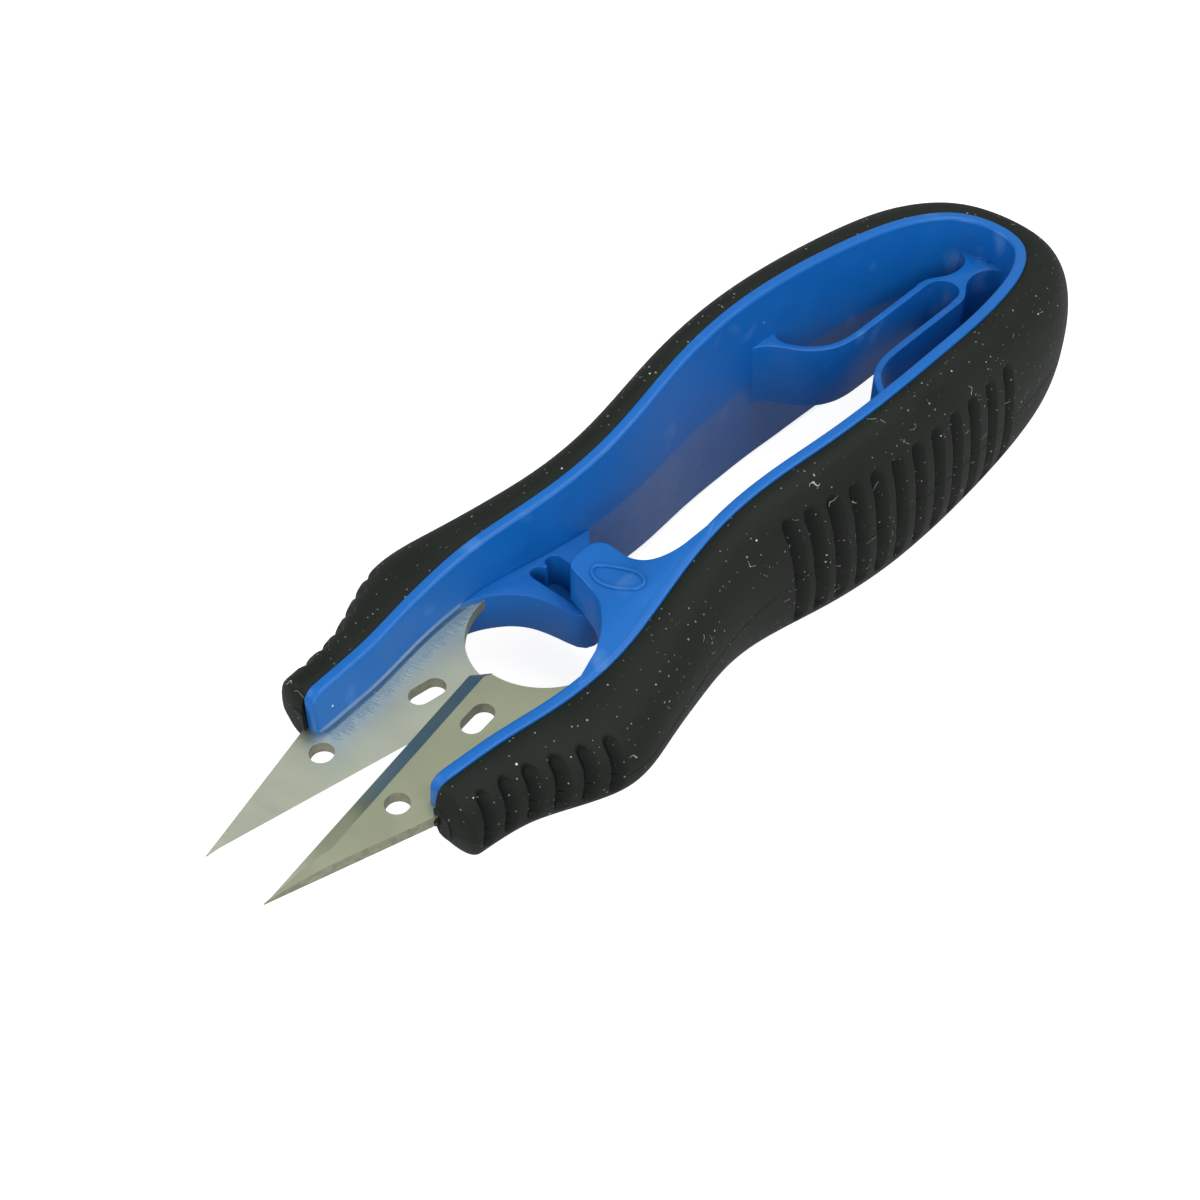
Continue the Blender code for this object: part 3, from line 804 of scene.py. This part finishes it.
def ground_steel(name, across, colours, relief, smoothing):
    """Ground steel, grey-green: grinding marks across it, handling marks, and the band beside the rail."""
    material, tree, inputs, place = new_material(name, "Metallic", 1.0)
    grind = placed_group(tree, fine_streaks, Place=place, Turn=across, Length=0.012, Width=0.00013,
                         Patch_size=0.011, Cover=0.62)
    marks = placed_group(tree, fine_streaks, Place=place, Turn=across + SCRATCH_TURN, Length=0.006,
                         Width=0.00009, Patch_size=0.005, Cover=0.36)
    skin = placed_group(tree, moulded_skin, Place=place, Fine_size=0.00012, Wave_size=0.005, Wave_share=0.4)
    # The given tones carry painted light: paler on the far blade than on the near one.
    body = mixed(tree, grind.outputs["Mask"], *colours)
    marked = mixed(tree, times(tree, marks.outputs["Mask"], SCRATCH_SHARE), body, STEEL_SCRATCH)
    tree.links.new(marked, inputs["Base Color"])
    rough = maths(tree, "MULTIPLY_ADD", grind.outputs["Height"], *STEEL_ROUGHNESS)
    rough = maths(tree, "MULTIPLY_ADD", skin.outputs["Cloud"], CLOUD_ROUGHNESS, rough)
    band = beside_rail(tree, place, grind.outputs["Height"])
    left = maths(tree, "MULTIPLY_ADD", band, -smoothing, 1.0)
    tree.links.new(times(tree, rough, left), inputs["Roughness"])
    height = maths(tree, "MULTIPLY_ADD", skin.outputs["Height"], SKIN_RELIEF, grind.outputs["Height"])
    add_bump(tree, inputs, height, strength=relief, distance=0.00001)
    return material


def sheared_shaded_steel():
    """The stamped edges and hole walls: duller, with a coarse torn skin, and darker, partly a real sheared
    finish and partly painted shade of the hole walls.
    """
    material, tree, inputs, place = new_material("sheared_shaded_steel", "Metallic", 1.0)
    skin = placed_group(tree, moulded_skin, Place=place, Fine_size=0.00010, Wave_size=0.0006, Wave_share=1.0)
    cloud = skin.outputs["Cloud"]
    tree.links.new(mixed(tree, cloud, STEEL_SHEARED_SHADED, STEEL_BURNISHED_SHADED), inputs["Base Color"])
    tree.links.new(maths(tree, "MULTIPLY_ADD", cloud, *SHEARED_ROUGHNESS), inputs["Roughness"])
    add_bump(tree, inputs, skin.outputs["Height"], strength=0.4, distance=0.00002)
    return material


shaded_edge_steel = sheared_shaded_steel()
for side, sign in SIDES:
    steel = ground_steel(side + "_blade_steel", BLADE_LEAN * sign, STEEL_SHADED_NEAR_LIT_FAR[side], GRIND_RELIEF[side],
                         RAIL_SMOOTHING[side])
    solids = [*blade_halves(), round_hole(*HOLE), round_hole(*SLOT)]
    if sign < 0:
        solids = [flip_side(solid, True) for solid in solids]
    blade = new_piece(side + "_blade_plate", solids[0], steel)
    rear, *holes = [new_object("tool", solid) for solid in solids[1:]]
    combine(blade, "UNION", rear)
    made_plain(blade, BLADE_SHARP)
    bpy.data.objects.remove(rear)
    cut_and_round(blade, holes, BLADE_EDGE, segments=2, angle=BLADE_EDGE_TURN, sharp=BLADE_SHARP)
    # The stamped edges and hole walls take the sheared steel with its painted shade.
    blade.data.materials.append(shaded_edge_steel)
    for face in blade.data.polygons:
        face.material_index = 1 if abs(face.normal.z) < SHEARED_LIMIT else 0
    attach(blade, side + "_arm")
    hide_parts(side + "_blade")


# ---- Soft grip ----
# Black soft rubber moulded over the outside of the handle, from nose to nose round the bow. Its two
# rows of finger grooves are sunk in the mould, and lint and dust cling to it.
GRIP_NOSE = {"near": 43.95, "far": 44.75}
GRIP_TURN = (1.4, 1.7)        # length over which its height, then its bulge, turns in at the nose
GRIP_NOSE_LEAN = 0.20         # how far its front leans back, per height below the blades
GRIP_NOSE_REACH = 6.0
GRIP_NOSE_STEPS = 26
GRIP_NOSE_ROUND = (2.4, 2.2)  # how square its height, then its bulge, turns in
GRIP_NOSE_LEFT = (0.5, 0.45)  # the shares of its height and bulge that are left at its front face
GRIP_TABLE_STEPS = 3000
GRIP_POWERS = (2.4, 2.9)      # how square its section is
GRIP_BACK = (0.3, 0.2)        # its hidden back is this much lower: the most, and the share of its height
GRIP_INSET = 0.12             # its back lies a little inside the wall
GRIP_TOP_GAP = 0.06           # its edge is a little lower than the bare rim
GRIP_EDGE_DROP = 0.24         # its edge rounds down into a fine gap beside the rim
GRIP_EDGE_ROUND = 0.17
PROFILE_STEPS = 30            # points from its edge to half way down
FINE_STEP = 0.15              # from ring to ring where there are grooves
COARSE_STEP = 0.42            # and elsewhere
GROOVED = ((43.0, 27.5), (0.5, -43.5))
SEAM_AT = (0.32, 0.17, 0.09, 0.045, 0.0, -0.045, -0.09, -0.17, -0.32)
SEAM_CLEAR = 0.05
SEAM_DEPTH = 0.07             # the mould halves meet in a fine line half way down
SEAM_WIDTH = 0.07
RUBBER = (0.0056, 0.0075, 0.0058, 1.0)
# painted shade: the darker tone the rubber is given deep in the finger grooves
RUBBER_GROOVE_SHADE = (0.0016, 0.0020, 0.0017, 1.0)
RUBBER_WORN = (0.0118, 0.0150, 0.0118, 1.0)
RUBBER_ROUGHNESS = (0.16, 0.52)  # what the clouds add, and the least
LINT = (0.50, 0.52, 0.50, 1.0)
LINT_SHARE = 0.5
LINT_CURLS = 900.0            # fineness of the noise that curls the fibres
LINT_BEND = 1.6               # and how far it bends them
LINT_LENGTHS = (0.8, 0.2)     # the range of their lengths, and the shortest, as shares of the full one
FULL_TURN = 6.283
DUST_FAINT = (0.4, 0.0)       # tone of the small specks: its range, and its least
DUST_BRIGHT = (0.9, 0.1)      # and of the large ones
GROOVE_DEPTH = "groove_depth"  # the attribute that says how deep in a groove a point is, and so how much painted shade the rubber gets there
GROOVE_LIP = 0.08             # a groove's edge reaches this far past its half width
GROOVE_SIDE = 0.28            # its side walls are within this of it
GROOVE_FRONT = 0.35           # and its deepest line is this far behind its front edge
GROOVED_SIDE = 10.9           # grooves are only this far or more from the middle plane
FRONT_GROOVES = {"First": 41.0, "Pitch": 2.42, "Stretch": 0.0, "Count": 6, "Width": 1.45, "Depth": 0.62,
                 "Low": -0.9, "High": 3.6, "Lean": 0.12, "Rear share": 0.3}
PALM_GROOVES = {"First": -0.9, "Pitch": 2.76, "Stretch": 0.036, "Count": 12, "Width": 1.9, "Depth": 0.66,
                "Low": -6.2, "High": 7.4, "Lean": -0.18, "Rear share": 0.2}


def turned_down(x, tip, length, roundness):
    """How much of the full height is left near a rounded front end."""
    t = min(max((x - (tip - length)) / length, 0.0), 0.999)
    return (1.0 - t**roundness) ** (1.0 / roundness)


def grip_places(nose):
    """Places of the rings along the outline: close together where the grooves are."""
    start = place_at(nose - GRIP_TURN[0])
    places = places_round_nose(start, place_at(nose), GRIP_NOSE_STEPS)
    table = np.linspace(start, apex_place, GRIP_TABLE_STEPS)
    table_x = outline_curve(table)[:, 0]
    place = start
    while place < apex_place:
        places.append(place)
        x = float(np.interp(place, table, table_x))
        grooved = any(low < x < high for high, low in GROOVED)
        place += FINE_STEP if grooved else COARSE_STEP
    return places + [apex_place]


def grip_section(height, low, bulge):
    """The grip's closed section: how far outwards from the wall's face, and height."""
    section = []
    shares = [math.cos(0.5 * math.pi * i / PROFILE_STEPS) for i in range(PROFILE_STEPS)]
    upper = [height * share for share in shares if height * share > SEAM_AT[0] + SEAM_CLEAR]
    lower = [low * share for share in shares if low * share < SEAM_AT[-1] - SEAM_CLEAR]
    for z in upper + list(SEAM_AT) + lower[::-1]:
        t = z / (height if z > 0 else low)
        full = max(0.0, 1.0 - abs(t) ** GRIP_POWERS[0]) ** (1.0 / GRIP_POWERS[1])
        u = bulge * full - SEAM_DEPTH * math.exp(-(z / SEAM_WIDTH) ** 2)
        edge_drop = GRIP_EDGE_DROP * math.exp(-(max(u, 0.0) / GRIP_EDGE_ROUND) ** 2)
        section.append((u, z - math.copysign(edge_drop, z)))
    back = min(GRIP_BACK[0], GRIP_BACK[1] * height)
    return section + [(-GRIP_INSET, low + back), (-GRIP_INSET, 0.0), (-GRIP_INSET, height - back)]


def groove_tree():
    """Geometry Nodes: a row of round-ended grooves pressed into the outside of a grip."""
    tree = bpy.data.node_groups.new("finger_grooves", "GeometryNodeTree")
    tree.interface.new_socket(name="Geometry", in_out="INPUT", socket_type="NodeSocketGeometry")
    for label in ("First", "Pitch", "Stretch", "Width", "Depth", "Low", "High", "Lean", "Rear share"):
        tree.interface.new_socket(name=label, in_out="INPUT", socket_type=FLOAT)
    tree.interface.new_socket(name="Count", in_out="INPUT", socket_type="NodeSocketInt")
    tree.interface.new_socket(name="Material", in_out="INPUT", socket_type="NodeSocketMaterial")
    tree.interface.new_socket(name="Geometry", in_out="OUTPUT", socket_type="NodeSocketGeometry")
    given = tree.nodes.new("NodeGroupInput").outputs
    out = tree.nodes.new("NodeGroupOutput")
    position = tree.nodes.new("GeometryNodeInputPosition").outputs[0]
    axes = node(tree, "ShaderNodeSeparateXYZ", Vector=position).outputs
    x = times(tree, axes[0], 1.0 / MM)
    side = maths(tree, "ABSOLUTE", times(tree, axes[1], 1.0 / MM))
    z = maths(tree, "MULTIPLY_ADD", axes[2], 1.0 / MM, -MEET_PLANE)

    # The nearest groove: the pitch grows along the row, so its number comes from a square root.
    fall = maths(tree, "SUBTRACT", given["High"], z)
    upright = maths(tree, "SUBTRACT", x, times(tree, fall, given["Lean"]))
    back = maths(tree, "SUBTRACT", given["First"], upright)
    squared = times(tree, given["Pitch"], given["Pitch"])
    growth = times(tree, times(tree, given["Stretch"], 4.0), maths(tree, "MAXIMUM", back, 0.0))
    root = maths(tree, "SQRT", maths(tree, "ADD", squared, growth))
    divisor = maths(tree, "ADD", given["Pitch"], root)
    number = maths(tree, "ROUND", maths(tree, "DIVIDE", times(tree, back, 2.0), divisor))
    last = maths(tree, "SUBTRACT", given["Count"], 1.0)
    nearest = maths(tree, "MAXIMUM", maths(tree, "MINIMUM", number, last), 0.0)
    stretch = times(tree, given["Stretch"], times(tree, nearest, nearest))
    offset = maths(tree, "SUBTRACT", back, maths(tree, "MULTIPLY_ADD", nearest, given["Pitch"], stretch))

    # How deep the point is in it: round ends, a steep front side and a slow rise behind.
    above = maths(tree, "MAXIMUM", maths(tree, "SUBTRACT", z, given["High"]), 0.0)
    below = maths(tree, "MAXIMUM", maths(tree, "SUBTRACT", given["Low"], z), 0.0)
    past = maths(tree, "ADD", above, below)
    reach = maths(tree, "ADD", times(tree, offset, offset), times(tree, past, past))
    half = times(tree, given["Width"], 0.5)
    lip = maths(tree, "ADD", half, GROOVE_LIP)
    bottom = maths(tree, "SUBTRACT", half, GROOVE_SIDE)
    sunk = fading(tree, maths(tree, "SQRT", reach), lip, bottom)
    deepest = maths(tree, "SUBTRACT", GROOVE_FRONT, half)
    slope = fading(tree, offset, deepest, half, 1.0, given["Rear share"])
    outside = maths(tree, "GREATER_THAN", side, GROOVED_SIDE)
    share = times(tree, times(tree, sunk, slope), outside)
    inward = times(tree, times(tree, share, given["Depth"]), -MM)
    normal = tree.nodes.new("GeometryNodeInputNormal").outputs[0]
    push = node(tree, "ShaderNodeVectorMath", {"operation": "SCALE"}, _0=normal, Scale=inward)
    moved = node(tree, "GeometryNodeSetPosition", Geometry=given["Geometry"], Offset=push.outputs[0])
    # The depth share is kept as an attribute, and the rubber's colour uses it to paint shade into the
    # grooves.
    before = node(tree, "GeometryNodeInputNamedAttribute", {"data_type": "FLOAT"}, Name=GROOVE_DEPTH)
    deeper = maths(tree, "MAXIMUM", before.outputs[0], share)
    kept = node(tree, "GeometryNodeStoreNamedAttribute", {"data_type": "FLOAT", "domain": "POINT"},
                Geometry=moved.outputs[0], Name=GROOVE_DEPTH, Value=deeper)
    real = node(tree, "GeometryNodeRealizeInstances", Geometry=kept.outputs[0])
    skin = node(tree, "GeometryNodeSetMaterial", Geometry=real.outputs[0], Material=given["Material"])
    tree.links.new(skin.outputs[0], out.inputs[0])
    return tree


def with_nodes(obj, tree, values):
    """A Geometry Nodes modifier whose inputs are set by their sockets' identifiers."""
    modifier = obj.modifiers.new(tree.name, "NODES")
    modifier.node_group = tree
    for item in tree.interface.items_tree:
        if item.item_type == "SOCKET" and item.in_out == "INPUT" and item.name in values:
            modifier[item.identifier] = values[item.name]
    return modifier


def lint_group():
    """Lint: short curled fibres lying on a surface that faces sideways, one in some of the cells."""
    group, given, out = new_group(
        "lint_fibres",
        (("Place", VECTOR, None), ("Spacing", FLOAT, 0.005), ("Length", FLOAT, 0.2), ("Width", FLOAT, 0.01),
         ("Share", FLOAT, 0.4)),
        (("Mask", FLOAT),),
    )

    def vectors(operation, a, **values):
        return node(group, "ShaderNodeVectorMath", {"operation": operation}, _0=a, **values).outputs[0]

    place = given.outputs["Place"]
    wobble = node(group, "ShaderNodeTexNoise", Vector=place, Scale=LINT_CURLS, Detail=0.0).outputs["Color"]
    bent = vectors("SCALE", vectors("SUBTRACT", wobble, _1=(0.5, 0.5, 0.5)), Scale=LINT_BEND * MM)
    curled = vectors("ADD", place, _1=bent)
    axes = node(group, "ShaderNodeSeparateXYZ", Vector=curled).outputs
    flat = node(group, "ShaderNodeCombineXYZ", X=axes[0], Y=axes[2], Z=0.0).outputs[0]
    scaled = vectors("SCALE", flat, Scale=one_over(group, given.outputs["Spacing"]))
    cells = node(group, "ShaderNodeTexVoronoi", {"voronoi_dimensions": "2D"}, Vector=scaled, Scale=1.0)
    parts = node(group, "ShaderNodeSeparateColor", Color=cells.outputs["Color"]).outputs
    from_middle = vectors("SUBTRACT", scaled, _1=cells.outputs["Position"])
    turned = node(group, "ShaderNodeVectorRotate", {"rotation_type": "Z_AXIS"}, Vector=from_middle,
                  Angle=times(group, parts[0], FULL_TURN)).outputs[0]
    local = node(group, "ShaderNodeSeparateXYZ", Vector=turned).outputs
    length = times(group, given.outputs["Length"], maths(group, "MULTIPLY_ADD", parts[1], *LINT_LENGTHS))
    along = maths(group, "LESS_THAN", maths(group, "ABSOLUTE", local[0]), length)
    across = maths(group, "LESS_THAN", maths(group, "ABSOLUTE", local[1]), given.outputs["Width"])
    chosen = maths(group, "LESS_THAN", parts[2], given.outputs["Share"])
    group.links.new(times(group, times(group, along, across), chosen), out.inputs["Mask"])
    return group


def soft_rubber():
    """Matt black rubber: fine skin, paler handled patches, painted shade in the finger grooves, dust specks
    and lint.
    """
    material, tree, inputs, place = new_material("soft_rubber", "Specular IOR Level", 0.11)
    skin = placed_group(tree, moulded_skin, Place=place, Fine_size=0.00016, Wave_size=0.006, Wave_share=0.5)
    small = placed_group(tree, dust_specks, Place=place, Spacing=0.0006, Size=0.19, Share=0.8)
    large = placed_group(tree, dust_specks, Place=place, Spacing=0.0013, Size=0.09, Share=0.75)
    fibres = placed_group(tree, lint_fibres, Place=place, Spacing=0.0037, Length=0.17, Width=0.0065,
                          Share=0.55)
    open_body = mixed(tree, skin.outputs["Cloud"], RUBBER, RUBBER_WORN)
    # Painted shade: the rubber darkens with the depth in a groove.
    sunk = node(tree, "ShaderNodeAttribute", {"attribute_name": GROOVE_DEPTH}).outputs["Fac"]
    body = mixed(tree, sunk, open_body, RUBBER_GROOVE_SHADE)
    dust = []
    for specks, tones in ((small, DUST_FAINT), (large, DUST_BRIGHT)):
        tone = maths(tree, "MULTIPLY_ADD", specks.outputs["Tone"], *tones)
        dust.append(times(tree, specks.outputs["Mask"], tone))
    marked = mixed(tree, maths(tree, "MAXIMUM", *dust), body, LINT)
    hairy = mixed(tree, times(tree, fibres.outputs[0], LINT_SHARE), marked, LINT)
    tree.links.new(hairy, inputs["Base Color"])
    rough = maths(tree, "MULTIPLY_ADD", skin.outputs["Cloud"], *RUBBER_ROUGHNESS)
    tree.links.new(rough, inputs["Roughness"])
    add_bump(tree, inputs, skin.outputs["Height"], strength=0.5, distance=0.00003)
    return material


lint_fibres = lint_group()
rubber = soft_rubber()
grooves = groove_tree()
for side, sign in SIDES:
    nose = GRIP_NOSE[side]
    rings = []
    for (x, y), out, height, bulge in zip(*outline_frames(grip_places(nose))):
        left = [
            max(least, turned_down(x, nose, length, roundness))
            for least, length, roundness in zip(GRIP_NOSE_LEFT, GRIP_TURN, GRIP_NOSE_ROUND)
        ]
        high = (height - GRIP_TOP_GAP) * left[0]
        section = grip_section(high, lower_edge(high), bulge * left[1])
        lean = GRIP_NOSE_LEAN * max(0.0, (x - nose) / GRIP_NOSE_REACH + 1.0)
        rings.append([(x + out[0] * u + lean * min(z, 0.0), y + out[1] * u, z) for u, z in section])
    solid = closed_tube(rings)
    grip = new_piece(side + "_soft_grip", flip_side(solid) if sign < 0 else solid, rubber, SOFT_SHARP)
    for row in (FRONT_GROOVES, PALM_GROOVES):
        with_nodes(grip, grooves, {**row, "Material": rubber})
    made_plain(grip, SOFT_SHARP)
    bend_with(grip)
    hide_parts(side + "_grip", "rear_grip")

# A nib of rubber squeezed out of the mould where the near blade enters the grip.
NIB_CENTRE = (43.75, 8.62, 0.55)
NIB_SIZE = (0.62, 0.35, 0.85)
NIB_RINGS = 12
NIB_SIDES = 20
rings = []
for i in range(1, NIB_RINGS):
    a = math.pi * i / NIB_RINGS
    ring = []
    for j in range(NIB_SIDES):
        b = 2 * math.pi * j / NIB_SIDES
        reach = (math.sin(a) * math.cos(b), math.sin(a) * math.sin(b), math.cos(a))
        ring.append(tuple(c + size * share for c, size, share in zip(NIB_CENTRE, NIB_SIZE, reach)))
    rings.append(ring)
nib = new_piece("near_grip_nib", closed_tube(rings), rubber, SOFT_SHARP)
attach(nib, "near_arm")
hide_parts("near_grip")


# ---- Floor, light and camera ----
# The snips lie on a plain white table in a light tent: white all round, with soft lamps above and
# to the sides. The camera looks down over the blades from the near side.
CAMERA_PLACE = (0.1051, 0.0842, 0.1395)
CAMERA_RIGHT = (-0.6745, 0.7382, 0.0)
CAMERA_UP = (-0.5310, -0.4852, 0.6947)
CAMERA_BACK = (0.5128, 0.4686, 0.7193)
LENS = 53.52
SENSOR_WIDTH = 36.0
WHITE = (1.0, 1.0, 1.0, 1.0)
TABLE_COLOUR = (0.32, 0.32, 0.32, 1.0)
TABLE_ROUGHNESS = 0.9
TENT_LIGHT = 0.42             # the light that the tent sheds
TENT_SEEN = 0.60              # what the camera sees of it on top of that
FLOOR_SIZE = 3.0
FLOOR_SEEN = 0.78             # the glow of the lit table as the camera sees it
FLOOR_MIRRORED = 0.27         # the glow that shiny faces mirror
FLOOR_GLOW = 0.06             # the glow that lights the snips from below

bpy.context.scene.view_settings.view_transform = "Standard"
world = bpy.data.worlds.new("light_tent")
world.use_nodes = True
backdrop = world.node_tree.nodes["Background"]
backdrop.inputs["Color"].default_value = WHITE
camera_ray = node(world.node_tree, "ShaderNodeLightPath").outputs["Is Camera Ray"]
tent = maths(world.node_tree, "MULTIPLY_ADD", camera_ray, TENT_SEEN, TENT_LIGHT)
world.node_tree.links.new(tent, backdrop.inputs["Strength"])
bpy.context.scene.world = world

floor_mesh = bpy.data.meshes.new("table_top")
half = 0.5 * FLOOR_SIZE
corners = [(-half, -half, 0), (half, -half, 0), (half, half, 0), (-half, half, 0)]
floor_mesh.from_pydata(corners, [], [(0, 1, 2, 3)])
floor = bpy.data.objects.new("table_top", floor_mesh)
bpy.context.scene.collection.objects.link(floor)
table, tree, inputs, _ = new_material("white_table", "Roughness", TABLE_ROUGHNESS)
inputs["Base Color"].default_value = TABLE_COLOUR
inputs["Emission Color"].default_value = WHITE
ray = node(tree, "ShaderNodeLightPath").outputs
mirrored_glow = maths(tree, "MULTIPLY_ADD", ray["Is Glossy Ray"], FLOOR_MIRRORED, FLOOR_GLOW)
glow = maths(tree, "MULTIPLY_ADD", ray["Is Camera Ray"], FLOOR_SEEN, mirrored_glow)
tree.links.new(glow, inputs["Emission Strength"])
floor_mesh.materials.append(table)


def soft_lamp(name, place, size, power):
    """A large square lamp turned towards the snips."""
    lamp = bpy.data.lights.new(name, "AREA")
    lamp.shape = "SQUARE"
    lamp.size = size
    lamp.energy = power
    obj = bpy.data.objects.new(name, lamp)
    turn = Vector(place).to_track_quat("Z", "Y").to_matrix().to_4x4()
    obj.matrix_world = Matrix.Translation(place) @ turn
    bpy.context.scene.collection.objects.link(obj)


soft_lamp("top_lamp", (-0.15, 0.1, 0.6), size=0.5, power=3.0)
soft_lamp("left_lamp", (0.35, -0.5, 0.35), size=0.45, power=1.9)
soft_lamp("right_lamp", (-0.1, 0.6, 0.3), size=0.45, power=1.5)
soft_lamp("front_lamp", (0.55, 0.35, 0.3), size=0.4, power=3.2)

camera_data = bpy.data.cameras.new("camera")
camera_data.lens = LENS
camera_data.sensor_width = SENSOR_WIDTH
camera = bpy.data.objects.new("camera", camera_data)
turn = Matrix((CAMERA_RIGHT, CAMERA_UP, CAMERA_BACK)).transposed()
camera.matrix_world = Matrix.Translation(CAMERA_PLACE) @ turn.to_4x4()
bpy.context.scene.collection.objects.link(camera)
bpy.context.scene.camera = camera
